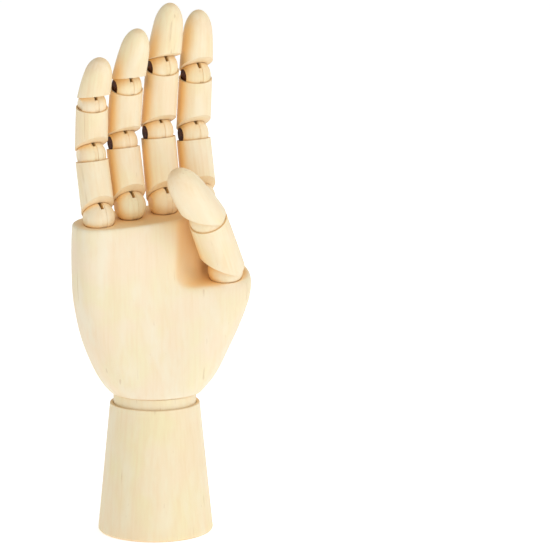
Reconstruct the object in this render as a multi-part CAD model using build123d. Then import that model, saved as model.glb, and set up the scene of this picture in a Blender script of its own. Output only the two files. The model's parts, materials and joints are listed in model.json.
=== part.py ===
from build123d import *
import os
from math import copysign, cos, pi, radians, sin, sqrt

# A wooden right hand for drawing practice, standing on its forearm.
# Millimetres. +Z points up along the fingers, the palm side faces -Y and the
# thumb side is +X. The origin is the centre of the forearm's bottom face.

# ---- Forearm and wrist ----
FOREARM_HEIGHT = 74.0
FOREARM_BOTTOM_RADIUS = 32.6
FOREARM_TOP_RADIUS = 25.3
FOOT_ROUND = 1.6
RIM_ROUND = 0.5
WRIST_RADIUS = 23.3
WRIST_CLEARANCE = 0.1
WRIST_SOCKET_DEPTH = 8.0
WRIST_BAND_TOP = 79.6
WRIST_DOME_RADIUS = 30.0
WRIST_FLOOR_GAP = 0.3
WRIST_CENTRE_Z = WRIST_BAND_TOP - sqrt(WRIST_DOME_RADIUS**2 - WRIST_RADIUS**2)
WRIST_BORE_RADIUS = 6.0
FOREARM_BORE_BOTTOM = 22.0
FOREARM_NAIL_Z = 31.5
PALM_NAIL_Z = 110.0
PALM_BORE_TOP = 118.0
WRIST_SPRING_RADIUS = 3.6
WRIST_EYE_RADIUS = 3.1
WRIST_EYE_WIRE = 0.7
WRIST_NAIL_RADIUS = 1.6
FOREARM_NAIL_DEPTH = 5.0
FOREARM_NAIL_TAIL = 9.0
WRIST_FOOT_CHAMFER = 0.6
WRIST_BORE_FLARE = 9.0

# ---- Palm ----
PALM_BOTTOM_Z = 79.9
PALM_TOP_Z = 181.4
PALM_TOP_SIDE_SLOPE = 4.5
PALM_TOP_FRONT_SLOPE = 6.0
PALM_EDGE_ROUND = 1.5
SECTION_POINTS = 32
# Cross-sections, from the bottom up: height, middle in X, half width in X,
# middle in Y, half depth in Y, squareness exponent, and the thumb-side swell.
PALM_SECTIONS = [
    (PALM_BOTTOM_Z, 0.8, 25.2, 0.0, 24.4, 2.1, 0.0),
    (84.6, 1.3, 30.2, 0.2, 24.2, 2.2, 0.0),
    (90.5, 1.6, 34.4, 0.4, 23.8, 2.3, 1.0),
    (101.0, 1.6, 39.4, 0.7, 22.8, 2.5, 3.0),
    (112.6, 2.0, 44.0, 1.0, 21.6, 2.7, 5.5),
    (126.2, 3.0, 48.2, 1.2, 20.6, 2.8, 8.0),
    (139.6, 3.6, 50.7, 1.2, 19.6, 2.9, 9.5),
    (147.4, 3.0, 50.5, 1.1, 19.0, 2.9, 9.0),
    (156.4, -1.2, 46.4, 0.9, 18.4, 3.0, 5.0),
    (167.4, -5.0, 42.6, 0.6, 17.8, 3.0, 1.5),
    (178.4, -5.2, 42.0, 0.2, 17.3, 3.0, 0.0),
    (189.4, -5.0, 41.6, 0.0, 16.8, 3.0, 0.0),
]
SWELL_DIRECTION = radians(-42.0)
SWELL_SPREAD = radians(62.0)
SWELL_SIDE_SHARE = 0.15

# ---- Joints shared by the fingers and the thumb ----
SOCKET_CLEARANCE = 0.1
SEAT_DROPS = (3.2, 1.8)
BACK_END = -1.2
NOTCH_ANGLE = 41.0
NOTCH_RISE = 6.2
RIM_CHAMFER = 0.3
GROOVE_DEPTH = 0.35
FINGER_FAN = (-16.0, 42.0)
NAIL_RADIUS = 0.8
NAIL_HEAD_RADIUS = 1.5
NAIL_HEAD_THICKNESS = 0.5
NAIL_REACH = 3.0
NAIL_SHARE = 0.52
NAIL_SINK = 0.1
TIP_NAIL_SHARE = 0.9
TIP_BORE_SPARE = 3.0
EYE_RADIUS = 1.15
EYE_WIRE = 0.22
EYE_OFFSET = 0.35
EYE_LEAD = 2.5

# ---- Knuckle balls, on the top of the palm ----
KNUCKLE_BALL_RADIUS = 9.0
KNUCKLE_BALL_FLAT = 8.2
KNUCKLE_GROOVE = 3.2
KNUCKLE_WAY = 1.8
KNUCKLE_FAN = (-26.0, 50.0)
KNUCKLE_FLARE = 3.6
KNUCKLE_NOTCH_ANGLE = 36.0
KNUCKLE_NOTCH_RISE = 5.4
KNUCKLE_SPRING_RADIUS = 0.8
KNUCKLE_NAIL_DEPTH = 22.0
KNUCKLE_NAIL_REACH = 15.5
KNUCKLE_BORE_RADIUS = 1.8
KNUCKLE_BORE_SPARE = 3.0
WRIST_NAIL_REACH = 20.5

# ---- Finger joints ----
FINGER_GROOVE = 2.2
FINGER_WAY = 1.5
FINGER_SPRING_RADIUS = 0.65
SPRING_BORE_RADIUS = 1.6
SPRING_PLAY = 0.45
BALL_INSET = 0.75
BALL_FLAT_SHARE = 0.88
WAIST_FULLNESS = 0.1

# Each finger: knuckle centre, sideways lean, rest bends of its three joints
# (degrees), distances between joints and to the tip, and its radius from the
# knuckle to the tip.
FINGERS = {
    "little": {"knuckle": (-34.0, -2.0, 182.4), "lean": -4.0, "bends": (-7.0, 20.0, 21.0),
               "lengths": (34.8, 30.2, 33.0), "radii": (9.3, 9.1, 8.8, 8.5)},
    "ring": {"knuckle": (-14.3, 0.0, 187.0), "lean": -3.5, "bends": (-8.0, 27.0, 15.0),
             "lengths": (35.8, 35.2, 40.4), "radii": (9.5, 9.3, 9.1, 8.8)},
    "middle": {"knuckle": (6.5, 0.5, 187.8), "lean": -3.0, "bends": (-5.0, 22.0, 8.0),
               "lengths": (39.4, 40.0, 40.6), "radii": (9.7, 9.6, 9.3, 9.0)},
    "index": {"knuckle": (27.6, -1.0, 188.6), "lean": -3.0, "bends": (-7.0, 20.0, 1.0),
              "lengths": (36.2, 35.2, 38.6), "radii": (9.7, 9.5, 9.2, 8.9)},
}

# ---- Thumb ----
THUMB_CENTRE = (37.5, -14.0, 148.9)
THUMB_DIRECTION = (-0.437, -0.356, 0.830)
THUMB_BEND = 12.0
THUMB_LENGTHS = (40.0, 40.8)
THUMB_RADII = (11.2, 10.9, 10.4)
THUMB_BALL_RADIUS = 9.9
THUMB_WAY = 2.4
THUMB_FAN = (-50.0, 60.0)
THUMB_FLARE = 5.2
THUMB_SEAT_DROP = 4.6
THUMB_TOP_DROP = 1.8
THUMB_BACK_END = 0.6
THUMB_NOTCH_ANGLE = 45.0
THUMB_NOTCH_RISE = 4.2
THUMB_TIP_NOTCH_RISE = 3.0
THUMB_NAIL_MIDDLE = 13.0
THUMB_NAIL_LENGTH = 32.0
SEAT_NORMAL = (-0.08, -0.16, 0.985)
SEAT_SIDEWAYS = (1.0, 0.0, 0.08)
SCOOP_RADIUS = 30.0
SCOOP_CENTRE = (29.0, -36.0)
SCOOP_COVE = 8.0
SEAT_ROOM_RADIUS = 14.0
SEAT_ROOM_COVE = 3.0
SCOOP_RIM_FRONT = -17.0
SCOOP_RIM_SPAN = (138.0, 176.0)
SCOOP_RIM_LENGTH = 20.0

BIG = 200.0


def half_space(z, tilt=0.0):
    """Everything below a plane at height z that rises towards -Y by tilt."""
    return Pos(0, 0, z) * Rot(X=-tilt) * Pos(0, 0, -BIG / 2) * Box(BIG, BIG, BIG)


def finger_frames(finger):
    """The frames of a finger's three phalanges, each at its lower joint."""
    frame = Location(finger["knuckle"]) * Rot(Y=finger["lean"])
    frames = []
    for bend, length in zip(finger["bends"], finger["lengths"]):
        frame = frame * Rot(X=bend)
        frames.append(frame)
        frame = frame * Pos(0, 0, length)
    return frames


def thumb_frames():
    """The frames of the thumb's two phalanges; -Y is the thumb's soft side."""
    along = Vector(*THUMB_DIRECTION).normalized()
    hinge = along.cross(Vector(-1, 0, 0)).normalized()
    lower = Plane(origin=THUMB_CENTRE, x_dir=hinge, z_dir=along).location
    upper = lower * Pos(0, 0, THUMB_LENGTHS[0]) * Rot(X=THUMB_BEND)
    return [lower, upper]


def thumb_ball_frame():
    """The thumb ball's frame: hinged as the thumb, but upright on its seat."""
    hinge = Vector(*THUMB_DIRECTION).cross(Vector(-1, 0, 0)).normalized()
    upright = Vector(*SEAT_NORMAL)
    upright = (upright - hinge * upright.dot(hinge)).normalized()
    return Plane(origin=THUMB_CENTRE, x_dir=hinge, z_dir=upright).location


# ---- Turned wooden blanks ----

def phalanx_blank(low_radius, top_radius, length):
    """A turned rod, a little fuller in the middle, from below its lower joint."""
    waist = 0.5 * (low_radius + top_radius) + WAIST_FULLNESS
    low = -low_radius
    outline = Polyline((0, length), (0, low), (low_radius, low))
    side = Spline((low_radius, low), (waist, length / 2), (top_radius, length))
    lid = Line((top_radius, length), (0, length))
    return revolve(Plane.XZ * make_face(outline + side + lid), Axis.Z)


def tip_blank(low_radius, tip_radius, length):
    """A tapering rod with a domed end, flattened on the soft side."""
    low = -low_radius
    outline = Polyline((0, length), (0, low), (low_radius, low))
    side = Spline(
        (low_radius, low),
        (low_radius * 0.99, length * 0.28),
        (tip_radius * 0.93, length * 0.62),
        (tip_radius * 0.66, length * 0.88),
        (0, length),
        tangents=[(0, 1), (-1, 0)],
    )
    blank = revolve(Plane.XZ * make_face(outline + side), Axis.Z)
    pad = Pos(0, -tip_radius * 0.87, length * 0.72) * Rot(X=-7)
    blank -= pad * Pos(0, -tip_radius, 0) * Box(BIG, 2 * tip_radius, length)
    return blank


# ---- Balls ----

def fan_way(reach, slot, back, front):
    """The flat fan-shaped way that a spring sweeps above a ball's centre."""
    steps = 4
    rays = [radians(back + (front - back) * step / steps) for step in range(steps + 1)]
    rim = [(-reach * sin(ray), reach * cos(ray)) for ray in rays]
    return extrude(Plane.YZ * make_face(Polyline((0, 0), *rim, close=True)), amount=slot / 2, both=True)


def ball(radius, way_width, fan, flat=BIG, groove=0.0, flare=0.0):
    """A turned ball with a flat way for its spring.

    Its sides are sawn off at flat and its soft side has a shallow groove of
    the given width. The way fans out above the centre, and below it either
    fans out too or, where flare is given, opens as a cone of that radius.
    """
    body = Sphere(radius)
    if flat < radius:
        body &= Box(2 * flat, 3 * radius, 3 * radius)
    if groove:
        ring = Rot(Y=90) * (Cylinder(2 * radius, groove) - Cylinder(radius - GROOVE_DEPTH, groove))
        body -= ring & Pos(0, -BIG / 2, 0) * Box(BIG, BIG, BIG)
    body -= Cylinder(way_width / 2 + SPRING_PLAY, 3 * radius)
    way = fan_way(2 * radius, way_width, *fan)
    body -= way
    if not flare:
        return body - mirror(way, Plane.XY)
    return body - Pos(0, 0, -radius / 2) * Cone(flare, way_width / 2, radius)


# ---- Phalanges ----

def open_lower_end(blank, radius, notch_angle, notch_rise, back_end):
    """The socket over the ball below, square at the back and slanted in front."""
    blank -= half_space(back_end)
    blank -= half_space(notch_rise, notch_angle)
    return blank - Sphere(radius + SOCKET_CLEARANCE)


def open_upper_end(blank, radius, length, seat_drop):
    """The square top end with the seat of the next ball."""
    top = length - seat_drop
    blank -= Pos(0, 0, top + BIG / 2) * Box(BIG, BIG, BIG)
    rim = blank.edges().filter_by(GeomType.CIRCLE).sort_by(Axis.Z)[-1]
    blank = chamfer(rim, RIM_CHAMFER)
    return blank - Pos(0, 0, length) * Sphere(radius + SOCKET_CLEARANCE)


def nail_shape(outer_radius):
    """A headed nail driven in from the back, its head flush with the wood."""
    shank = Cylinder(NAIL_RADIUS, outer_radius + NAIL_REACH, align=(Align.CENTER, Align.CENTER, Align.MIN))
    head = Cylinder(NAIL_HEAD_RADIUS, NAIL_HEAD_THICKNESS, align=(Align.CENTER, Align.CENTER, Align.MAX))
    nail = Pos(0, 0, -NAIL_REACH) * shank + Pos(0, 0, outer_radius) * head
    return Rot(X=-90) * nail


def drill(blank, outer_radius, nail_z, low, high):
    """The spring bore, the nail hole and the pocket for the nail's head."""
    blank -= Pos(0, 0, (low + high) / 2) * Cylinder(SPRING_BORE_RADIUS, high - low)
    sunk = outer_radius - NAIL_HEAD_THICKNESS
    pocket = Cylinder(NAIL_HEAD_RADIUS, BIG, align=(Align.CENTER, Align.CENTER, Align.MIN))
    blank -= Pos(0, 0, nail_z) * Rot(X=-90) * Pos(0, 0, sunk) * pocket
    return blank - Pos(0, 0, nail_z) * nail_shape(outer_radius)


def nail_radius(low_radius, top_radius):
    """How far out the head of a phalanx's nail lies."""
    return 0.5 * (low_radius + top_radius) - NAIL_SINK


# ---- Springs ----

def spring(start, centre, end, radius, side_dirs, eye=EYE_RADIUS, wire=EYE_WIRE, shift=EYE_OFFSET):
    """A close-wound spring through a ball's centre, with an eye at each end."""
    body = Pos(*centre) * Sphere(radius)
    for point, side in zip((start, end), side_dirs):
        span = Vector(*centre) - Vector(*point)
        frame = Plane(origin=Vector(*point), x_dir=side, z_dir=span.normalized()).location
        lead = eye + EYE_LEAD * wire
        tube = Cylinder(radius, span.length - lead, align=(Align.CENTER, Align.CENTER, Align.MIN))
        neck = Cylinder(wire, 1.05 * EYE_LEAD * wire, align=(Align.CENTER, Align.CENTER, Align.MIN))
        body += frame * Pos(0, 0, lead) * tube
        body += frame * Pos(0, shift, 0) * Rot(X=90) * Torus(eye, wire)
        body += frame * Pos(0, shift, eye) * neck
    return body


# ---- Palm ----

def palm_section(height, mid_x, half_x, mid_y, half_y, power, swell):
    """One rounded-square cross-section, swollen at the base of the thumb."""
    points = []
    for step in range(SECTION_POINTS):
        angle = pi / 2 + 2 * pi * step / SECTION_POINTS
        x = copysign(abs(cos(angle)) ** (2 / power), cos(angle)) * half_x
        y = copysign(abs(sin(angle)) ** (2 / power), sin(angle)) * half_y
        away = abs((angle - SWELL_DIRECTION + pi) % (2 * pi) - pi) / SWELL_SPREAD
        bump = swell * cos(min(away, 1.0) * pi / 2) ** 2
        points.append((mid_x + x + SWELL_SIDE_SHARE * bump, mid_y + y - bump, height))
    return make_face(Spline(*points, periodic=True))


def seat_frame():
    """The frame at the thumb ball's centre, square to the thumb's seat."""
    return Plane(origin=THUMB_CENTRE, x_dir=SEAT_SIDEWAYS, z_dir=SEAT_NORMAL).location


def top_frame():
    """The palm's sloping top face: lower at the little finger and in front."""
    return Pos(0, 0, PALM_TOP_Z) * Rot(Y=-PALM_TOP_SIDE_SLOPE) * Rot(X=PALM_TOP_FRONT_SLOPE)


def on_palm_top(edge):
    """Whether an edge lies in the palm's sloping top face."""
    return abs((top_frame().inverse() * Pos(*edge.center())).position.Z) < PALM_EDGE_ROUND / 3


def round_footed(radius, cove):
    """A tall upright cutter whose bottom edge leaves a cove."""
    cutter = Cylinder(radius, BIG, align=(Align.CENTER, Align.CENTER, Align.MIN))
    return fillet(cutter.edges().filter_by(GeomType.CIRCLE).sort_by(Axis.Z)[0], cove)


def on_scoop_rim(edge):
    """Whether an edge is one of the long front rims of the thumb's scoop."""
    middle = edge.center()
    low, high = SCOOP_RIM_SPAN
    long_enough = edge.length > SCOOP_RIM_LENGTH
    return middle.X > 0 and middle.Y < SCOOP_RIM_FRONT and low < middle.Z < high and long_enough


def palm_blank():
    """The carved block before it is drilled."""
    block = loft([palm_section(*row) for row in PALM_SECTIONS])
    block -= top_frame() * Pos(0, 0, BIG / 2) * Box(BIG, BIG, BIG)
    block = fillet([edge for edge in block.edges() if on_palm_top(edge)], PALM_EDGE_ROUND)
    floor = seat_frame() * Pos(0, 0, -THUMB_SEAT_DROP)
    scoop_x = SCOOP_CENTRE[0] - THUMB_CENTRE[0]
    scoop_y = SCOOP_CENTRE[1] - THUMB_CENTRE[1]
    block -= floor * Pos(scoop_x, scoop_y, 0) * round_footed(SCOOP_RADIUS, SCOOP_COVE)
    block -= floor * round_footed(SEAT_ROOM_RADIUS, SEAT_ROOM_COVE)
    return fillet([edge for edge in block.edges() if on_scoop_rim(edge)], PALM_EDGE_ROUND)


def knuckle_seats():
    """Ball seats, spring bores and nail holes along the top of the palm."""
    cuts = []
    for finger in FINGERS.values():
        frame = Location(finger["knuckle"]) * Rot(Y=finger["lean"])
        cuts.append(frame * Sphere(KNUCKLE_BALL_RADIUS + SOCKET_CLEARANCE))
        depth = KNUCKLE_NAIL_DEPTH + KNUCKLE_BORE_SPARE
        cuts.append(frame * Pos(0, 0, -depth / 2) * Cylinder(KNUCKLE_BORE_RADIUS, depth))
    return cuts


def palm_nail_frames():
    """Where the palm's nails cross the spring bores, each with its length."""
    places = []
    for finger in FINGERS.values():
        frame = Location(finger["knuckle"]) * Rot(Y=finger["lean"])
        places.append((frame * Pos(0, 0, -KNUCKLE_NAIL_DEPTH), NAIL_RADIUS, KNUCKLE_NAIL_REACH))
    places.append((Pos(0, 0, PALM_NAIL_Z), WRIST_NAIL_RADIUS, WRIST_NAIL_REACH))
    return places


def palm_nail(radius, reach):
    """A nail that crosses its bore and stops under the palm's back."""
    length = reach + 3 * radius
    return Rot(X=-90) * Pos(0, 0, reach - length / 2) * Cylinder(radius, length)


def thumb_nail_place():
    """The cross nail below the thumb's ball, along the seat's own depth."""
    return seat_frame() * Pos(0, 0, -KNUCKLE_NAIL_DEPTH)


def thumb_nail():
    """The nail below the thumb, driven in from the back of the palm."""
    return Rot(X=-90) * Pos(0, 0, THUMB_NAIL_MIDDLE) * Cylinder(NAIL_RADIUS, THUMB_NAIL_LENGTH)


def wrist_bore(low, high):
    """The wide straight bore for the wrist spring."""
    return Pos(0, 0, (low + high) / 2) * Cylinder(WRIST_BORE_RADIUS, high - low)


def palm_block():
    block = palm_blank()
    for cut in knuckle_seats():
        block -= cut
    block -= Location(THUMB_CENTRE) * Sphere(THUMB_BALL_RADIUS + SOCKET_CLEARANCE)
    thumb_depth = KNUCKLE_NAIL_DEPTH + KNUCKLE_BORE_SPARE
    thumb_bore = Cylinder(KNUCKLE_BORE_RADIUS, thumb_depth)
    block -= seat_frame() * Pos(0, 0, -thumb_depth / 2) * thumb_bore
    block -= Pos(0, 0, WRIST_CENTRE_Z) * Sphere(WRIST_DOME_RADIUS + SOCKET_CLEARANCE)
    block -= wrist_bore(WRIST_CENTRE_Z, PALM_BORE_TOP)
    for place, radius, reach in palm_nail_frames():
        block -= place * palm_nail(radius, reach)
    return block - thumb_nail_place() * thumb_nail()


def palm_nails():
    nails = [place * palm_nail(radius, reach) for place, radius, reach in palm_nail_frames()]
    nails.append(thumb_nail_place() * thumb_nail())
    return Compound(nails)


# ---- Forearm and wrist ----

def forearm_stand():
    cone = Cone(FOREARM_BOTTOM_RADIUS, FOREARM_TOP_RADIUS, FOREARM_HEIGHT,
                align=(Align.CENTER, Align.CENTER, Align.MIN))
    rings = cone.edges().filter_by(GeomType.CIRCLE).sort_by(Axis.Z)
    cone = fillet(rings[0], FOOT_ROUND)
    socket_floor = FOREARM_HEIGHT - WRIST_SOCKET_DEPTH
    socket = Cylinder(WRIST_RADIUS + WRIST_CLEARANCE, BIG, align=(Align.CENTER, Align.CENTER, Align.MIN))
    cone -= Pos(0, 0, socket_floor) * socket
    rim = cone.edges().filter_by(GeomType.CIRCLE).group_by(Axis.Z)[-1]
    cone = fillet(rim, RIM_ROUND)
    cone -= wrist_bore(FOREARM_BORE_BOTTOM, socket_floor)
    return cone - Pos(0, 0, FOREARM_NAIL_Z) * forearm_nail_shape()


def forearm_nail_shape():
    """A nail across the forearm's bore, driven in from the back."""
    reach = FOREARM_BOTTOM_RADIUS - FOREARM_NAIL_DEPTH
    length = reach + FOREARM_NAIL_TAIL
    return Rot(X=-90) * Pos(0, 0, reach - length / 2) * Cylinder(WRIST_NAIL_RADIUS, length)


def wrist_block():
    low = FOREARM_HEIGHT - WRIST_SOCKET_DEPTH + WRIST_FLOOR_GAP
    dome = Pos(0, 0, WRIST_CENTRE_Z) * Sphere(WRIST_DOME_RADIUS)
    drum = Cylinder(WRIST_RADIUS, BIG, align=(Align.CENTER, Align.CENTER, Align.MIN))
    block = dome & Pos(0, 0, low) * drum
    rim = block.edges().filter_by(GeomType.CIRCLE).sort_by(Axis.Z)[0]
    block = chamfer(rim, WRIST_FOOT_CHAMFER)
    flare_top = WRIST_CENTRE_Z + WRIST_DOME_RADIUS
    flare_height = flare_top - low
    flare = Cone(WRIST_BORE_RADIUS, WRIST_BORE_RADIUS + WRIST_BORE_FLARE, flare_height,
                 align=(Align.CENTER, Align.CENTER, Align.MIN))
    return block - Pos(0, 0, low) * flare - wrist_bore(low - 1, flare_top)


def wrist_spring():
    centre = (0, 0, WRIST_CENTRE_Z)
    return spring((0, 0, FOREARM_NAIL_Z), centre, (0, 0, PALM_NAIL_Z), WRIST_SPRING_RADIUS,
                  ((1, 0, 0), (1, 0, 0)), WRIST_EYE_RADIUS, WRIST_EYE_WIRE, 0.0)


# ---- Assembly ----

def build_finger(name, finger):
    """All the nodes of one finger, and its knuckle spring."""
    nodes = {}
    frames = finger_frames(finger)
    radii = finger["radii"]
    lengths = finger["lengths"]
    nail_heights = [NAIL_SHARE * length for length in lengths]
    ball_radii = [KNUCKLE_BALL_RADIUS, radii[1] - BALL_INSET, radii[2] - BALL_INSET]

    knuckle = Location(finger["knuckle"]) * Rot(Y=finger["lean"])
    nodes["knuckle_ball"] = knuckle * ball(KNUCKLE_BALL_RADIUS, KNUCKLE_WAY, KNUCKLE_FAN,
                                           KNUCKLE_BALL_FLAT, KNUCKLE_GROOVE, KNUCKLE_FLARE)
    for joint, label in ((1, "middle_ball"), (2, "tip_ball")):
        flat = BALL_FLAT_SHARE * ball_radii[joint]
        turned = ball(ball_radii[joint], FINGER_WAY, FINGER_FAN, flat, FINGER_GROOVE)
        half_back = Rot(X=-finger["bends"][joint] / 2)
        nodes[label] = frames[joint] * half_back * turned

    for part, label in enumerate(("proximal", "middle", "tip")):
        length = lengths[part]
        angle = NOTCH_ANGLE if part else KNUCKLE_NOTCH_ANGLE
        rise = NOTCH_RISE if part else KNUCKLE_NOTCH_RISE
        if part < 2:
            blank = phalanx_blank(radii[part], radii[part + 1], length)
            blank = open_upper_end(blank, ball_radii[part + 1], length, SEAT_DROPS[part])
            head = nail_radius(radii[part], radii[part + 1])
            bore_top = length
        else:
            blank = tip_blank(radii[2], radii[3], length)
            head = radii[3] * TIP_NAIL_SHARE
            bore_top = nail_heights[part] + TIP_BORE_SPARE
        blank = open_lower_end(blank, ball_radii[part], angle, rise, BACK_END)
        blank = drill(blank, head, nail_heights[part], 0, bore_top)
        nodes[label] = frames[part] * blank
        nodes[label + "_nail"] = frames[part] * Pos(0, 0, nail_heights[part]) * nail_shape(head)

    nail_points = [(frame * Pos(0, 0, height)).position for frame, height in zip(frames, nail_heights)]
    sideways = (Location((0, 0, 0)) * Rot(Y=finger["lean"]) * Pos(1, 0, 0)).position
    for joint, label in ((1, "middle_spring"), (2, "tip_spring")):
        nodes[label] = spring(nail_points[joint - 1], frames[joint].position, nail_points[joint],
                              FINGER_SPRING_RADIUS, (sideways, sideways))
    palm_end = (knuckle * Pos(0, 0, -KNUCKLE_NAIL_DEPTH)).position
    knuckle_spring = spring(palm_end, finger["knuckle"], nail_points[0], KNUCKLE_SPRING_RADIUS,
                            (sideways, sideways))
    return nodes, knuckle_spring


def build_thumb():
    """All the nodes of the thumb, and the spring at its base."""
    nodes = {}
    frames = thumb_frames()
    low_radius, mid_radius, tip_radius = THUMB_RADII
    length, tip_length = THUMB_LENGTHS
    joint_radius = mid_radius - BALL_INSET
    nail_heights = (NAIL_SHARE * length, NAIL_SHARE * tip_length)

    nodes["ball"] = thumb_ball_frame() * ball(THUMB_BALL_RADIUS, THUMB_WAY, THUMB_FAN, flare=THUMB_FLARE)
    middle = ball(joint_radius, FINGER_WAY, FINGER_FAN)
    nodes["tip_ball"] = frames[1] * Rot(X=-THUMB_BEND / 2) * middle

    blank = phalanx_blank(low_radius, mid_radius, length)
    blank = open_upper_end(blank, joint_radius, length, THUMB_TOP_DROP)
    blank = open_lower_end(blank, THUMB_BALL_RADIUS, THUMB_NOTCH_ANGLE, THUMB_NOTCH_RISE, THUMB_BACK_END)
    head = nail_radius(low_radius, mid_radius)
    nodes["proximal"] = frames[0] * drill(blank, head, nail_heights[0], 0, length)
    nodes["proximal_nail"] = frames[0] * Pos(0, 0, nail_heights[0]) * nail_shape(head)

    blank = tip_blank(mid_radius, tip_radius, tip_length)
    blank = open_lower_end(blank, joint_radius, THUMB_NOTCH_ANGLE, THUMB_TIP_NOTCH_RISE, BACK_END)
    head = tip_radius * TIP_NAIL_SHARE
    nodes["tip"] = frames[1] * drill(blank, head, nail_heights[1], 0, nail_heights[1] + TIP_BORE_SPARE)
    nodes["tip_nail"] = frames[1] * Pos(0, 0, nail_heights[1]) * nail_shape(head)

    points = [(frame * Pos(0, 0, height)).position for frame, height in zip(frames, nail_heights)]
    sideways = (frames[0] * Pos(1, 0, 0)).position - frames[0].position
    nodes["tip_spring"] = spring(points[0], frames[1].position, points[1], FINGER_SPRING_RADIUS,
                                 (sideways, sideways))
    base_spring = spring(thumb_nail_place().position, THUMB_CENTRE, points[0], KNUCKLE_SPRING_RADIUS,
                         (SEAT_SIDEWAYS, sideways))
    return nodes, base_spring


def main():
    os.makedirs("parts", exist_ok=True)
    nodes = {
        "forearm_stand": forearm_stand(),
        "forearm_nail": Pos(0, 0, FOREARM_NAIL_Z) * forearm_nail_shape(),
        "wrist_block": wrist_block(),
        "wrist_spring": wrist_spring(),
        "palm_block": palm_block(),
        "palm_nails": palm_nails(),
    }
    knuckle_springs = []
    for name, finger in FINGERS.items():
        finger_nodes, knuckle_spring = build_finger(name, finger)
        knuckle_springs.append(knuckle_spring)
        for label, shape in finger_nodes.items():
            nodes[f"{name}_{label}"] = shape
    thumb_nodes, base_spring = build_thumb()
    knuckle_springs.append(base_spring)
    for label, shape in thumb_nodes.items():
        nodes[f"thumb_{label}"] = shape
    nodes["knuckle_springs"] = Compound(knuckle_springs)
    for name, shape in nodes.items():
        export_step(shape, f"parts/{name}.step")


main()
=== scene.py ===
"""Looks for the jointed wooden hand: woods, steel, springs, a softly carved palm, light and camera.

Metres, in the row frame: +Z up along the fingers, the palm side faces -Y, the thumb is on +X.
"""

import json
import math

import bpy
import numpy as np
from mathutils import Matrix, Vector

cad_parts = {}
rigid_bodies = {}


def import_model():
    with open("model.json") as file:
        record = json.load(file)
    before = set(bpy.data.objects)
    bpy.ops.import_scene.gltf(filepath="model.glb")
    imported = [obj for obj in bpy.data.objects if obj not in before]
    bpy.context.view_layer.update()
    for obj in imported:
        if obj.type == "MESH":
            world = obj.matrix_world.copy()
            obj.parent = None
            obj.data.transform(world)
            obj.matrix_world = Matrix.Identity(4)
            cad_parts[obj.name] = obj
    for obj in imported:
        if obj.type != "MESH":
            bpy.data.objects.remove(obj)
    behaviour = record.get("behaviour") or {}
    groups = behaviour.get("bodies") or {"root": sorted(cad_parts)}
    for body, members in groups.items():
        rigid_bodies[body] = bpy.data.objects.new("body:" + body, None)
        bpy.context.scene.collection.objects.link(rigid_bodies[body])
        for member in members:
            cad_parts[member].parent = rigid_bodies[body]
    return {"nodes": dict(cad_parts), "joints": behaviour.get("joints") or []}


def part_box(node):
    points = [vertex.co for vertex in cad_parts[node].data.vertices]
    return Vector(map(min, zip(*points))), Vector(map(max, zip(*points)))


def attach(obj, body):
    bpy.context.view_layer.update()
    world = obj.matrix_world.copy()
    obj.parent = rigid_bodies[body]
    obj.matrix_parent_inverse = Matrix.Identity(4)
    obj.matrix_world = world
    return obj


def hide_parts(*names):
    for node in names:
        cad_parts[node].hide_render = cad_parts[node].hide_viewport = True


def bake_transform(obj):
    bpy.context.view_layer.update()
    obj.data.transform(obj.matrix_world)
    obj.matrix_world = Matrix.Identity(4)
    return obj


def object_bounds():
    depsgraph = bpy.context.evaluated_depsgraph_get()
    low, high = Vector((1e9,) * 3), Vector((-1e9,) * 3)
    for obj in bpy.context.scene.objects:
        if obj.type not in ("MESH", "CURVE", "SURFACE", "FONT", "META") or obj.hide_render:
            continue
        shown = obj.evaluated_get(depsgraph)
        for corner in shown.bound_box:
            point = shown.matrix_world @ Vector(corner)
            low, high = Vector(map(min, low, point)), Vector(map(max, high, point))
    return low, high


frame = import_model()
cad_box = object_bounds()
NODES = frame["nodes"]
JOINTS = {joint["name"]: joint for joint in frame["joints"]}
FINGERS = ("little", "ring", "middle", "index")
MM = 0.001
UP = Vector((0, 0, 1))
SHARP_ANGLE = math.radians(32)

# ---- Camera, in the photograph's framing ----
CAMERA_AZIMUTH = math.radians(-25.0)
CAMERA_ELEVATION = math.radians(11.3)
CAMERA_DISTANCE = 2.2
FRAME_WIDTH = 0.308
TARGET_SIDE = 0.0677
TARGET_HEIGHT = 0.1464
SENSOR_WIDTH = 36.0
CLIP_END = 100.0

# ---- Floor and light ----
FLOOR_REACH = 14.0
FLOOR_GLOW = 0.52
WORLD_LIGHT = 0.53
KEY_POWER = 11.2
FILL_POWER = 3.4
RIM_POWER = 4.0
DAYLIGHT = (0.98, 0.99, 1.0)
WARM_WHITE = (1.0, 0.995, 0.985)
WHITE = (1.0, 1.0, 1.0)

# ---- Palm carving: voxel, smoothing rounds, and the distances over which smoothing sets in ----
PALM_VOXEL = 0.7 * MM
PALM_SHARP_ANGLE = math.radians(40)
WEB_SMOOTHING = 90
SKIN_SMOOTHING = 4
SEAT_RADIUS = 9.0 * MM
THUMB_SEAT_RADIUS = 9.9 * MM
SEAT_MARGIN = (0.8 * MM, 3.0 * MM)
WRIST_CUP = (31.5 * MM, 34.0 * MM)
WEB_SIDE = (-44 * MM, -32 * MM)
WEB_DEPTH = (-2 * MM, 8 * MM)
WEB_FOOT = (-19 * MM, -9 * MM)
WEB_TOP = (25 * MM, 34 * MM)

# ---- Springs: coil radius, wire radius, gap between turns ----
FINGER_COIL = (0.65 * MM, 0.16 * MM, 0.1 * MM)
KNUCKLE_COIL = (0.8 * MM, 0.19 * MM, 0.11 * MM)
WRIST_COIL = (3.6 * MM, 0.7 * MM, 0.35 * MM)
PALM_END = 22 * MM
WIRE_SIDES = 6
TURN_STEPS = 12
EYE_STEPS = 14
EYE_ANGLE = 1.75 * math.pi

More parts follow.
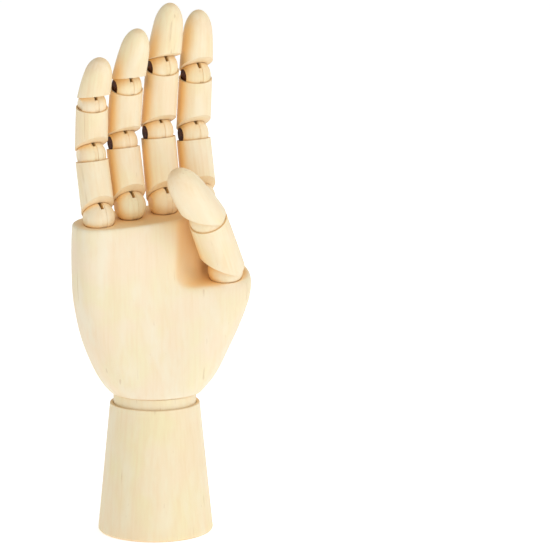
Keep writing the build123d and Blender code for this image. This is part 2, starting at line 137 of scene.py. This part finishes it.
# ---- Wood grain: scale of each figure, and how much its pattern is stretched along the grain ----
MOTTLE_SCALE = 42.0
BLOTCH_SCALE = 95.0
BLOTCH_STRETCH = (1.0, 1.0, 0.35)
STREAK_SCALE = 620.0
STREAK_STRETCH = (1.0, 1.0, 0.05)
FIBRE_SCALE = 2400.0
FIBRE_STRETCH = (1.0, 1.0, 0.018)
THREAD_SCALE = 420.0
THREAD_STRETCH = (1.0, 1.0, 0.012)
PORE_SCALE = 1500.0
PORE_STRETCH = (1.0, 1.0, 0.07)
SPECK_SCALE = 1900.0
RING_STRETCH = (1.0, 1.0, 0.02)
RING_WAVER = 2.2 * MM
PITH_DISTANCE = 0.055
PITH_TURN = 2.4
SEED_STEP = Vector((0.37, 0.61, 0.23))

# ---- Wood surface ----
EDGE_RADIUS = 0.35 * MM
GRAIN_DEPTH = 0.06 * MM
WOOD_GLOSS = 0.35
SAWN_GLOSS = 0.04
SHADE_SIDE = (-0.906, 0.423, 0.0)
CREVICE_REACH = 1.6 * MM


def rgb(red, green, blue):
    return (red, green, blue, 1.0)


CREAM = rgb(0.865, 0.765, 0.585)
HONEY = rgb(0.83, 0.655, 0.42)
ROSY = rgb(0.87, 0.72, 0.53)
STRAW = rgb(0.85, 0.745, 0.50)
RING_TAN = rgb(0.80, 0.585, 0.345)
PORE_BROWN = rgb(0.50, 0.31, 0.15)
END_GRAIN = rgb(0.78, 0.57, 0.35)
# Painted shade on the flat sawn sides of some balls: near black to dark brown.
SAWN_SHADE_DARK = rgb(0.045, 0.012, 0.003)
SAWN_SHADE_BROWN = rgb(0.26, 0.085, 0.022)
# Painted shade colours: orange where faces are closed in on the shaded side, brown in tight gaps.
SHADE_ORANGE = rgb(0.93, 0.585, 0.225)
CREVICE_SHADE_BROWN = rgb(0.42, 0.18, 0.065)
# Paler rim colour: partly wear, partly a painted highlight.
WORN_AND_HIGHLIT = rgb(0.94, 0.84, 0.67)
NAIL_STEEL = rgb(0.56, 0.55, 0.53)
SPRING_STEEL = rgb(0.40, 0.40, 0.41)
DULL_STEEL = rgb(0.30, 0.22, 0.16)

# ---- Woods: colour cast, figure strength and spacing, reach and share of the painted warm shade ----
FINGER_WOOD = {"tone": rgb(0.99, 0.98, 0.92), "figure": 0.8, "ring_gap": 3.4 * MM,
               "shade_reach": 26 * MM, "warmth": (0.22, 1.0)}
BALL_WOOD = {**FINGER_WOOD, "ring_gap": 2.6 * MM, "figure": 1.0}
PALM_WOOD = {"tone": rgb(0.985, 0.995, 0.985), "figure": 0.5, "ring_gap": 4.6 * MM,
             "shade_reach": 34 * MM, "warmth": (0.75, 1.0)}
STAND_WOOD = {"tone": rgb(0.98, 0.98, 0.91), "figure": 0.5, "ring_gap": 3.8 * MM,
              "shade_reach": 20 * MM, "warmth": (0.05, 0.15)}

# ---- Balls whose flat sawn sides get painted shade ----
SHADED_SAWN_BALLS = [f"{finger}_{joint}_ball" for finger in ("ring", "middle", "index")
             for joint in ("middle", "tip")]


def centre_of(node):
    low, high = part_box(node)
    return (low + high) / 2


def linked(name, data):
    """A new object in the scene."""
    obj = bpy.data.objects.new(name, data)
    bpy.context.scene.collection.objects.link(obj)
    return obj


# ---- Shader building ----

class Shader:
    """A material's node tree, with short calls for the nodes used here."""

    def __init__(self, name):
        self.material = bpy.data.materials.new(name)
        self.material.use_nodes = True
        self.tree = self.material.node_tree
        self.surface = self.tree.nodes["Principled BSDF"]

    def add(self, kind, inputs=None, **settings):
        node = self.tree.nodes.new(kind)
        for key, value in settings.items():
            setattr(node, key, value)
        for key, value in (inputs or {}).items():
            self.put(node.inputs[key], value)
        return node

    def put(self, socket, value):
        if isinstance(value, bpy.types.NodeSocket):
            self.tree.links.new(value, socket)
        else:
            socket.default_value = value

    def math(self, operation, first, second=0.0):
        node = self.add("ShaderNodeMath", {0: first, 1: second}, operation=operation)
        return node.outputs[0]

    def vector(self, operation, first, second=(0.0, 0.0, 0.0)):
        node = self.add("ShaderNodeVectorMath", {0: first, 1: second}, operation=operation)
        return node.outputs["Value" if operation in ("LENGTH", "DOT_PRODUCT") else "Vector"]

    def ramp(self, value, low, high):
        """A smooth step from 0 at low to 1 at high."""
        span = {"Value": value, "From Min": low, "From Max": high}
        node = self.add("ShaderNodeMapRange", span, interpolation_type="SMOOTHSTEP")
        return node.outputs["Result"]

    def spread(self, value, low, high, **source):
        """A value carried over in a straight line to the range from low to high."""
        span = {"Value": value, **source, "To Min": low, "To Max": high}
        return self.add("ShaderNodeMapRange", span).outputs["Result"]

    def noise(self, place, scale, detail=3.0, roughness=0.55):
        settings = {"Vector": place, "Scale": scale, "Detail": detail, "Roughness": roughness}
        return self.add("ShaderNodeTexNoise", settings).outputs["Fac"]

    def grain(self, place, stretch, scale, detail=3.0, roughness=0.55):
        """Noise drawn out along the grain."""
        return self.noise(self.vector("MULTIPLY", place, stretch), scale, detail, roughness)

    def mix(self, share, first, second, blend="MIX"):
        node = self.add("ShaderNodeMix", data_type="RGBA", blend_type=blend)
        self.put(node.inputs["Factor"], share)
        self.put(node.inputs["A"], first)
        self.put(node.inputs["B"], second)
        return node.outputs["Result"]

    def tint(self, colour, mask, strength, other):
        """The colour moved towards another where the mask is high."""
        return self.mix(self.math("MULTIPLY", mask, strength), colour, other)

    def shape_normal(self):
        return self.add("ShaderNodeTexCoord").outputs["Normal"]

    def cover(self, reach):
        """How open the surface is within reach: 1 in the open, 0 where it is closed in."""
        return self.add("ShaderNodeAmbientOcclusion", {"Distance": reach}, samples=6).outputs["AO"]

    def gloss(self, level):
        self.surface.inputs["Specular IOR Level"].default_value = level


def grain_place(shader, centre, grain, seed):
    """Object coordinates, plain and turned to put the grain along Z, apart for each piece."""
    turn = Vector(grain).normalized().rotation_difference(UP).to_matrix()
    offset = SEED_STEP * seed - turn @ Vector(centre)
    here = shader.add("ShaderNodeTexCoord").outputs["Object"]
    spot = shader.add("ShaderNodeMapping", {"Vector": here, "Location": offset,
                                            "Rotation": turn.to_euler()})
    return here, spot.outputs["Vector"], offset


def growth_rings(shader, place, offset, blotch, seed, ring_gap):
    """Rings round a pith that lies outside the piece."""
    angle = seed * PITH_TURN
    pith = (offset[0] + PITH_DISTANCE * math.cos(angle), offset[1] + PITH_DISTANCE * math.sin(angle),
            0.0)
    flat = shader.vector("MULTIPLY", shader.vector("SUBTRACT", place, pith), RING_STRETCH)
    waver = shader.math("MULTIPLY", blotch, RING_WAVER)
    reach = shader.math("ADD", shader.vector("LENGTH", flat), waver)
    phase = shader.math("MULTIPLY", reach, 2 * math.pi / ring_gap)
    return shader.ramp(shader.math("SINE", phase), 0.1, 1.0)


def figure_colour(shader, marks, ring, figure):
    """The colour of the long grain: patches, streaks, rings and fibres."""
    mottle, blotch, streak, fibre = marks
    colour = shader.mix(shader.ramp(mottle, 0.36, 0.66), ROSY, STRAW)
    colour = shader.tint(colour, shader.ramp(streak, 0.66, 0.24), figure, HONEY)
    colour = shader.mix(shader.ramp(blotch, 0.42, 0.72), colour, CREAM)
    colour = shader.tint(colour, ring, 0.16 * figure, RING_TAN)
    return shader.tint(colour, shader.ramp(fibre, 0.58, 0.80), 0.22 * figure, RING_TAN)


def dark_lines(shader, colour, place, mottle, blotch):
    """Thin dark threads and short pores; also gives where the pores are."""
    thread = shader.ramp(shader.grain(place, THREAD_STRETCH, THREAD_SCALE, 1.0, 0.4), 0.70, 0.76)
    thread = shader.math("MULTIPLY", thread, shader.ramp(mottle, 0.42, 0.58))
    colour = shader.tint(colour, thread, 0.30, PORE_BROWN)
    pore = shader.ramp(shader.grain(place, PORE_STRETCH, PORE_SCALE, 2.0, 0.4), 0.735, 0.80)
    patchy = shader.math("MULTIPLY", pore, shader.ramp(blotch, 0.45, 0.6))
    return shader.tint(colour, patchy, 0.55, PORE_BROWN), patchy


def end_grain(shader, colour, place, grain):
    """Darker speckled faces across the grain; also gives where they are."""
    direction = tuple(Vector(grain).normalized())
    along = shader.vector("DOT_PRODUCT", shader.shape_normal(), direction)
    cut = shader.ramp(shader.math("ABSOLUTE", along), 0.72, 0.97)
    speck = shader.ramp(shader.noise(place, SPECK_SCALE, 2.0, 0.5), 0.42, 0.70)
    cut_colour = shader.tint(END_GRAIN, speck, 0.45, HONEY)
    return shader.tint(colour, cut, 0.6, cut_colour), cut


def worn_and_highlit_edges(shader, colour, blotch):
    """Paler rubbed edges, partly wear and partly a painted highlight along the rims; also gives the
    normal of the softly rounded edges.
    """
    rounded = shader.add("ShaderNodeBevel", {"Radius": EDGE_RADIUS}, samples=4).outputs["Normal"]
    true_normal = shader.add("ShaderNodeNewGeometry").outputs["Normal"]
    edge = shader.ramp(shader.vector("DOT_PRODUCT", rounded, true_normal), 0.995, 0.90)
    # partly wear, partly painted highlight: the rims are turned paler
    worn_and_highlit = shader.math("MULTIPLY", edge, shader.ramp(blotch, 0.35, 0.60))
    return shader.tint(colour, worn_and_highlit, 0.55, WORN_AND_HIGHLIT), rounded


def in_the_shade(shader, colour, wood):
    """Painted warm shade where pieces face each other on the shaded side, and painted brown shade in
    the tight gaps.
    """
    turned = shader.vector("DOT_PRODUCT", shader.shape_normal(), SHADE_SIDE)
    covered = shader.ramp(shader.cover(wood["shade_reach"]), 0.88, 0.36)
    share = shader.spread(turned, *wood["warmth"], **{"From Min": -0.35, "From Max": 0.75})
    colour = shader.mix(shader.math("MULTIPLY", covered, share), colour, SHADE_ORANGE)
    # painted shade: brown darkening in the tight gaps where a neighbouring piece closes in
    crevice = shader.ramp(shader.cover(CREVICE_REACH), 0.50, 0.05)
    return shader.tint(colour, crevice, 0.55, CREVICE_SHADE_BROWN)


def wood_relief(shader, streak, fibre, patchy, cut, rounded):
    """Roughness and fine relief of planed and sanded wood."""
    rough = shader.spread(streak, 0.42, 0.58)
    rough = shader.math("ADD", rough, shader.math("MULTIPLY", cut, 0.16))
    height = shader.math("ADD", shader.math("MULTIPLY", streak, 0.5),
                         shader.math("MULTIPLY", fibre, 0.5))
    height = shader.math("SUBTRACT", height, shader.math("MULTIPLY", patchy, 0.8))
    bump = shader.add("ShaderNodeBump", {"Height": height, "Strength": 0.35,
                                         "Distance": GRAIN_DEPTH, "Normal": rounded})
    shader.put(shader.surface.inputs["Roughness"], rough)
    shader.put(shader.surface.inputs["Normal"], bump.outputs["Normal"])
    shader.gloss(WOOD_GLOSS)


def full_wood(name, centre, grain, seed, wood):
    """Pale close-grained hardwood; gives the shader, its two coordinates and its colour."""
    shader = Shader(name)
    here, place, offset = grain_place(shader, centre, grain, seed)
    mottle = shader.noise(place, MOTTLE_SCALE, 2.0)
    blotch = shader.grain(place, BLOTCH_STRETCH, BLOTCH_SCALE)
    streak = shader.grain(place, STREAK_STRETCH, STREAK_SCALE, 4.0, 0.6)
    fibre = shader.grain(place, FIBRE_STRETCH, FIBRE_SCALE, 3.0, 0.65)
    ring = growth_rings(shader, place, offset, blotch, seed, wood["ring_gap"])
    colour = figure_colour(shader, (mottle, blotch, streak, fibre), ring, wood["figure"])
    colour, patchy = dark_lines(shader, colour, place, mottle, blotch)
    colour, cut = end_grain(shader, colour, place, grain)
    colour, rounded = worn_and_highlit_edges(shader, colour, blotch)
    colour = shader.mix(1.0, colour, wood["tone"], "MULTIPLY")
    colour = in_the_shade(shader, colour, wood)
    wood_relief(shader, streak, fibre, patchy, cut, rounded)
    shader.put(shader.surface.inputs["Base Color"], colour)
    return shader, here, place, colour


def wood_shader(name, centre, grain, seed, wood=FINGER_WOOD):
    return full_wood(name, centre, grain, seed, wood)[0]


def ball_shader(name, joint, radius, seed):
    """The same wood for a ball on a joint, with painted dark shade on its flat sawn sides."""
    shader, here, place, colour = full_wood(name, joint["pos_m"], UP, seed, BALL_WOOD)
    axis = tuple(Vector(joint["axis"]).normalized())
    from_centre = shader.vector("SUBTRACT", here, tuple(joint["pos_m"]))
    aside = shader.math("ABSOLUTE", shader.vector("DOT_PRODUCT", from_centre, axis))
    facing = shader.math("ABSOLUTE", shader.vector("DOT_PRODUCT", shader.shape_normal(), axis))
    outside = shader.ramp(aside, 0.55 * radius, 0.7 * radius)
    # painted shade: the flat sides facing along the hinge axis are turned near black
    shaded_sawn = shader.math("MULTIPLY", shader.ramp(facing, 0.93, 0.985), outside)
    mottled = shader.ramp(shader.noise(place, 1100.0, 4.0, 0.7), 0.45, 0.75)
    sawn_shade = shader.mix(mottled, SAWN_SHADE_DARK, SAWN_SHADE_BROWN)
    shader.put(shader.surface.inputs["Base Color"], shader.mix(shaded_sawn, colour, sawn_shade))
    shader.gloss(SAWN_GLOSS)
    return shader


def steel_shader(name, tone, seed):
    """Drawn steel with fine lengthwise scratches and a few dull patches."""
    shader = Shader(name)
    place = grain_place(shader, (0, 0, 0), UP, seed)[1]
    scratch = shader.grain(place, (1.0, 0.15, 1.0), 5200.0, 3.0, 0.7)
    patch = shader.ramp(shader.noise(place, 900.0, 2.0), 0.48, 0.70)
    shader.put(shader.surface.inputs["Base Color"], shader.tint(tone, patch, 0.35, DULL_STEEL))
    shader.put(shader.surface.inputs["Roughness"], shader.spread(scratch, 0.26, 0.48))
    bump = shader.add("ShaderNodeBump", {"Height": scratch, "Strength": 0.25,
                                         "Distance": 0.01 * MM})
    shader.put(shader.surface.inputs["Normal"], bump.outputs["Normal"])
    shader.surface.inputs["Metallic"].default_value = 1.0
    return shader


# ---- Painting the CAD nodes ----

def paint(obj, shader):
    obj.data.materials.clear()
    obj.data.materials.append(shader.material)


def start_joint(body):
    """The hinge at the lower end of a phalanx."""
    finger, label = body.split("_")
    if label == "proximal":
        return JOINTS[finger + ("_fold" if finger == "thumb" else "_bend")]
    return JOINTS[finger + {"middle": "_middle_bend", "tip": "_tip_bend"}[label]]


def grain_of(node):
    """The direction a piece's grain runs in: along a phalanx, upright for everything else."""
    if node.endswith(("_proximal", "_middle", "_tip")):
        return centre_of(node) - Vector(start_joint(node)["pos_m"])
    return UP


def ball_radius(node, joint):
    """A ball's radius, from how far it reaches from its centre."""
    middle = np.array(joint["pos_m"])
    points = np.array([vertex.co for vertex in NODES[node].data.vertices])
    return float(np.linalg.norm(points - middle, axis=1).max())


def node_shader(node, seed, steel):
    """The material of a CAD node, or none where another piece stands for it."""
    name = "wood_" + node
    if node in SHADED_SAWN_BALLS:
        joint = start_joint(node[: -len("_ball")])
        return ball_shader(name, joint, ball_radius(node, joint), seed)
    if "nail" in node:
        return steel
    if node in ("forearm_stand", "wrist_block"):
        return wood_shader(name, centre_of(node), UP, seed, STAND_WOOD)
    if "spring" in node or node == "palm_block":
        return None
    return wood_shader(name, centre_of(node), grain_of(node), seed)


def paint_nodes():
    steel = steel_shader("nail_steel", NAIL_STEEL, 3)
    for number, node in enumerate(sorted(NODES)):
        obj = NODES[node]
        shader = node_shader(node, number, steel)
        if shader:
            paint(obj, shader)
        smooth_curved_faces(obj, SHARP_ANGLE)


def smooth_curved_faces(obj, angle):
    """Smooth shading that keeps the edges sharper than the angle."""
    obj.data.shade_smooth()
    obj.data.set_sharp_from_angle(angle=angle)


# ---- The carved palm ----

def remeshed(source, name, voxel):
    """A new object with the source's shape on an even mesh."""
    raw = linked(name + "_raw", source.data.copy())
    modifier = raw.modifiers.new("even", "REMESH")
    modifier.mode = "VOXEL"
    modifier.voxel_size = voxel
    bpy.context.view_layer.update()
    evaluated = raw.evaluated_get(bpy.context.evaluated_depsgraph_get())
    even = bpy.data.meshes.new_from_object(evaluated)
    bpy.data.objects.remove(raw)
    even.name = name
    return linked(name, even)


def smooth_step(value, low, high):
    share = np.clip((value - low) / (high - low), 0.0, 1.0)
    return share * share * (3 - 2 * share)


def relax(mesh, weights, rounds):
    """Laplacian smoothing of a mesh by a weight for each vertex."""
    count = len(mesh.vertices)
    points = np.empty(count * 3)
    mesh.vertices.foreach_get("co", points)
    points = points.reshape(-1, 3)
    edges = np.empty(len(mesh.edges) * 2, dtype=np.int64)
    mesh.edges.foreach_get("vertices", edges)
    first, second = edges[0::2], edges[1::2]
    degree = np.bincount(first, minlength=count) + np.bincount(second, minlength=count)
    for _ in range(rounds):
        total = np.empty_like(points)
        for axis in range(3):
            total[:, axis] = (np.bincount(first, points[second, axis], count)
                              + np.bincount(second, points[first, axis], count))
        points += 0.5 * weights[:, None] * (total / degree[:, None] - points)
    mesh.vertices.foreach_set("co", points.ravel())
    mesh.update()


def palm_weights(mesh):
    """Where the palm may be smoothed: (all the outer skin, the web beside the thumb)."""
    points = np.array([vertex.co for vertex in mesh.vertices])
    thumb = np.array(JOINTS["thumb_fold"]["pos_m"])
    wrist = np.array(JOINTS["wrist_bend"]["pos_m"])
    seats = [(JOINTS[finger + "_bend"]["pos_m"], SEAT_RADIUS) for finger in FINGERS]
    skin = np.ones(len(points))
    for seat, radius in seats + [(thumb, THUMB_SEAT_RADIUS)]:
        away = np.linalg.norm(points - np.array(seat), axis=1)
        skin *= smooth_step(away, radius + SEAT_MARGIN[0], radius + SEAT_MARGIN[1])
    skin *= smooth_step(np.linalg.norm(points - wrist, axis=1), *WRIST_CUP)
    web = smooth_step(points[:, 0], thumb[0] + WEB_SIDE[0], thumb[0] + WEB_SIDE[1])
    web *= smooth_step(-points[:, 1], *WEB_DEPTH)
    web *= smooth_step(points[:, 2], thumb[2] + WEB_FOOT[0], thumb[2] + WEB_FOOT[1])
    web *= 1 - smooth_step(points[:, 2], thumb[2] + WEB_TOP[0], thumb[2] + WEB_TOP[1])
    return skin, skin * web


def carve_palm(seed):
    palm = remeshed(NODES["palm_block"], "palm_carved", PALM_VOXEL)
    skin, web = palm_weights(palm.data)
    relax(palm.data, web, WEB_SMOOTHING)
    relax(palm.data, skin, SKIN_SMOOTHING)
    smooth_curved_faces(palm, PALM_SHARP_ANGLE)
    paint(palm, wood_shader("wood_palm", centre_of("palm_block"), UP, seed, PALM_WOOD))
    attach(palm, "palm")
    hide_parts("palm_block")


# ---- Springs ----

def wire_rings(points, wire):
    """Rings of vertices round a line of points, without twist."""
    rings = []
    side = (points[1] - points[0]).normalized().orthogonal().normalized()
    for number, point in enumerate(points):
        ahead = points[min(number + 1, len(points) - 1)]
        behind = points[max(number - 1, 0)]
        tangent = (ahead - behind).normalized()
        side = (side - tangent * side.dot(tangent)).normalized()
        other = tangent.cross(side)
        for step in range(WIRE_SIDES):
            angle = 2 * math.pi * step / WIRE_SIDES
            rings.append(point + wire * (math.cos(angle) * side + math.sin(angle) * other))
    return rings


def wire_mesh(name, points, wire):
    """A round wire of the given radius along a list of points."""
    rings = wire_rings(points, wire)
    faces = []
    for number in range(len(points) - 1):
        low, high = number * WIRE_SIDES, (number + 1) * WIRE_SIDES
        for step in range(WIRE_SIDES):
            after = (step + 1) % WIRE_SIDES
            faces.append((low + step, low + after, high + after, high + step))
    faces.append(tuple(reversed(range(WIRE_SIDES))))
    faces.append(tuple(range(len(rings) - WIRE_SIDES, len(rings))))
    mesh = bpy.data.meshes.new(name)
    mesh.from_pydata([tuple(point) for point in rings], [], faces)
    mesh.shade_smooth()
    return linked(name, mesh)


def coil_points(start, end, side, coil):
    """An eye round the nail at start, then close turns to end."""
    radius, wire, gap = coil
    along = (end - start).normalized()
    side = (side - along * side.dot(along)).normalized()
    front = along.cross(side)
    lead = radius + 3 * wire
    points = []
    for step in range(EYE_STEPS):
        angle = -math.pi / 2 + EYE_ANGLE * step / EYE_STEPS
        round_nail = math.cos(angle) * front + math.sin(angle) * along
        points.append(start + radius * round_nail + side * wire)
    length = (end - start).length - lead
    steps = int(TURN_STEPS * length / (2 * wire + gap))
    for step in range(steps + 1):
        angle = 2 * math.pi * step / TURN_STEPS
        swing = math.cos(angle) * front + math.sin(angle) * side
        points.append(start + along * (lead + length * step / steps) + (radius - wire) * swing)
    return points


def finish_wire(wire, steel, node):
    """Paints a spring's wire, bakes its placement into its mesh and hides the CAD node it stands
    for.
    """
    paint(wire, steel)
    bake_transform(wire)
    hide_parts(node)


def half_spring(name, node, ends, side, coil, steel):
    """Half a spring, from a nail to a ball's centre."""
    nail, centre = ends
    wire = wire_mesh(name, coil_points(nail, centre, side, coil), coil[1])
    finish_wire(wire, steel, node)


def spring_end(body):
    """The point where the nail of a phalanx crosses its bore."""
    phalanx = grain_of(body).normalized()
    base = Vector(start_joint(body)["pos_m"])
    nail = NODES[body + "_nail"].data
    heights = [(vertex.co - base).dot(phalanx) for vertex in nail.vertices]
    return base + phalanx * (min(heights) + max(heights)) / 2


def build_joint_spring(joint, steel):
    """The spring through a middle or tip joint, in two halves."""
    lower, upper = JOINTS[joint + "_bend"], JOINTS[joint + "_follow"]
    centre, side = Vector(lower["pos_m"]), Vector(lower["axis"])
    node = joint + "_spring"
    for label, bodies in (("low", (lower["parent"], lower["child"])),
                          ("high", (upper["child"], upper["parent"]))):
        ends = (spring_end(bodies[0]), centre)
        half_spring(f"{node}_{label}", node, ends, side, FINGER_COIL, steel)


def build_base_spring(finger, steel):
    """The spring from the palm through a knuckle ball into the first phalanx, in two halves."""
    turn, bend = ("_swing", "_fold") if finger == "thumb" else ("_spread", "_bend")
    low, high = JOINTS[finger + turn], JOINTS[finger + bend]
    centre, side = Vector(low["pos_m"]), Vector(high["axis"])
    upright = Vector(low["axis"]).cross(side).normalized()
    palm_end = centre - upright * math.copysign(PALM_END, upright.z)
    phalanx_end = spring_end(high["child"])
    node = "knuckle_springs"
    half_spring(f"{finger}_base_spring_low", node, (palm_end, centre), side, KNUCKLE_COIL,
                steel)
    half_spring(f"{finger}_base_spring_high", node, (phalanx_end, centre), side, KNUCKLE_COIL,
                steel)


def build_wrist_spring(steel):
    """The spring from the forearm through the wrist block into the palm, in two halves."""
    centre = Vector(JOINTS["wrist_bend"]["pos_m"])
    low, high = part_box("wrist_spring")
    eye, wire = WRIST_COIL[:2]
    side = Vector((1, 0, 0))
    forearm_end = Vector((0, 0, low.z + eye))
    palm_end = Vector((0, 0, high.z - eye))
    lower = wire_mesh("wrist_spring_low", coil_points(forearm_end, centre, side, WRIST_COIL), wire)
    upper = wire_mesh("wrist_spring_high", coil_points(palm_end, centre, side, WRIST_COIL), wire)
    finish_wire(lower, steel, "wrist_spring")
    finish_wire(upper, steel, "wrist_spring")


def build_springs():
    steel = steel_shader("spring_steel", SPRING_STEEL, 7)
    for finger in FINGERS:
        build_joint_spring(finger + "_middle", steel)
        build_joint_spring(finger + "_tip", steel)
    build_joint_spring("thumb_tip", steel)
    for finger in FINGERS + ("thumb",):
        build_base_spring(finger, steel)
    build_wrist_spring(steel)


# ---- Floor, light and camera ----

def plain_floor():
    mesh = bpy.data.meshes.new("floor")
    signs = ((-1, -1), (1, -1), (1, 1), (-1, 1))
    corners = [(x * FLOOR_REACH, y * FLOOR_REACH, 0) for x, y in signs]
    mesh.from_pydata(corners, [], [(0, 1, 2, 3)])
    floor = linked("floor", mesh)
    shader = Shader("pale_floor")
    shader.surface.inputs["Base Color"].default_value = rgb(0.90, 0.90, 0.90)
    shader.surface.inputs["Roughness"].default_value = 0.9
    shader.surface.inputs["Emission Color"].default_value = rgb(*WHITE)
    shader.surface.inputs["Emission Strength"].default_value = FLOOR_GLOW
    paint(floor, shader)


def view_axes():
    """The directions towards the camera and to its right."""
    azimuth, elevation = CAMERA_AZIMUTH, CAMERA_ELEVATION
    level = math.cos(elevation)
    back = Vector((math.sin(azimuth) * level, -math.cos(azimuth) * level, math.sin(elevation)))
    return back, Vector((math.cos(azimuth), math.sin(azimuth), 0.0))


def aim(obj, target):
    obj.rotation_euler = (target - obj.location).to_track_quat("-Z", "Y").to_euler()


def soft_light(name, offset, target, size, power, colour):
    """A square light at an offset from the target, turned towards it."""
    light = bpy.data.lights.new(name, "AREA")
    light.size = size
    light.energy = power
    light.color = colour
    obj = linked(name, light)
    obj.location = target + offset
    aim(obj, target)


def studio():
    back, right = view_axes()
    middle = Vector((0, 0, 0.5 * (cad_box[0][2] + cad_box[1][2])))
    soft_light("key", 1.0 * back + 1.25 * right + 0.9 * UP, middle, 0.9, KEY_POWER, DAYLIGHT)
    soft_light("fill", 1.6 * back - 0.5 * right + 0.5 * UP, middle, 1.4, FILL_POWER, WARM_WHITE)
    soft_light("rim", -1.2 * back + 0.6 * right + 1.1 * UP, middle, 1.0, RIM_POWER, WHITE)
    world = bpy.data.worlds.new("studio_white")
    world.use_nodes = True
    background = world.node_tree.nodes["Background"]
    background.inputs["Color"].default_value = rgb(*WHITE)
    background.inputs["Strength"].default_value = WORLD_LIGHT
    bpy.context.scene.world = world
    bpy.context.scene.view_settings.view_transform = "Standard"


def place_camera():
    back, right = view_axes()
    data = bpy.data.cameras.new("camera")
    data.sensor_width = SENSOR_WIDTH
    data.angle = 2 * math.atan(0.5 * FRAME_WIDTH / CAMERA_DISTANCE)
    data.clip_end = CLIP_END
    camera = linked("camera", data)
    target = TARGET_SIDE * right + TARGET_HEIGHT * UP
    camera.location = target + CAMERA_DISTANCE * back
    aim(camera, target)
    bpy.context.scene.camera = camera


paint_nodes()
carve_palm(len(NODES))
build_springs()
plain_floor()
studio()
place_camera()
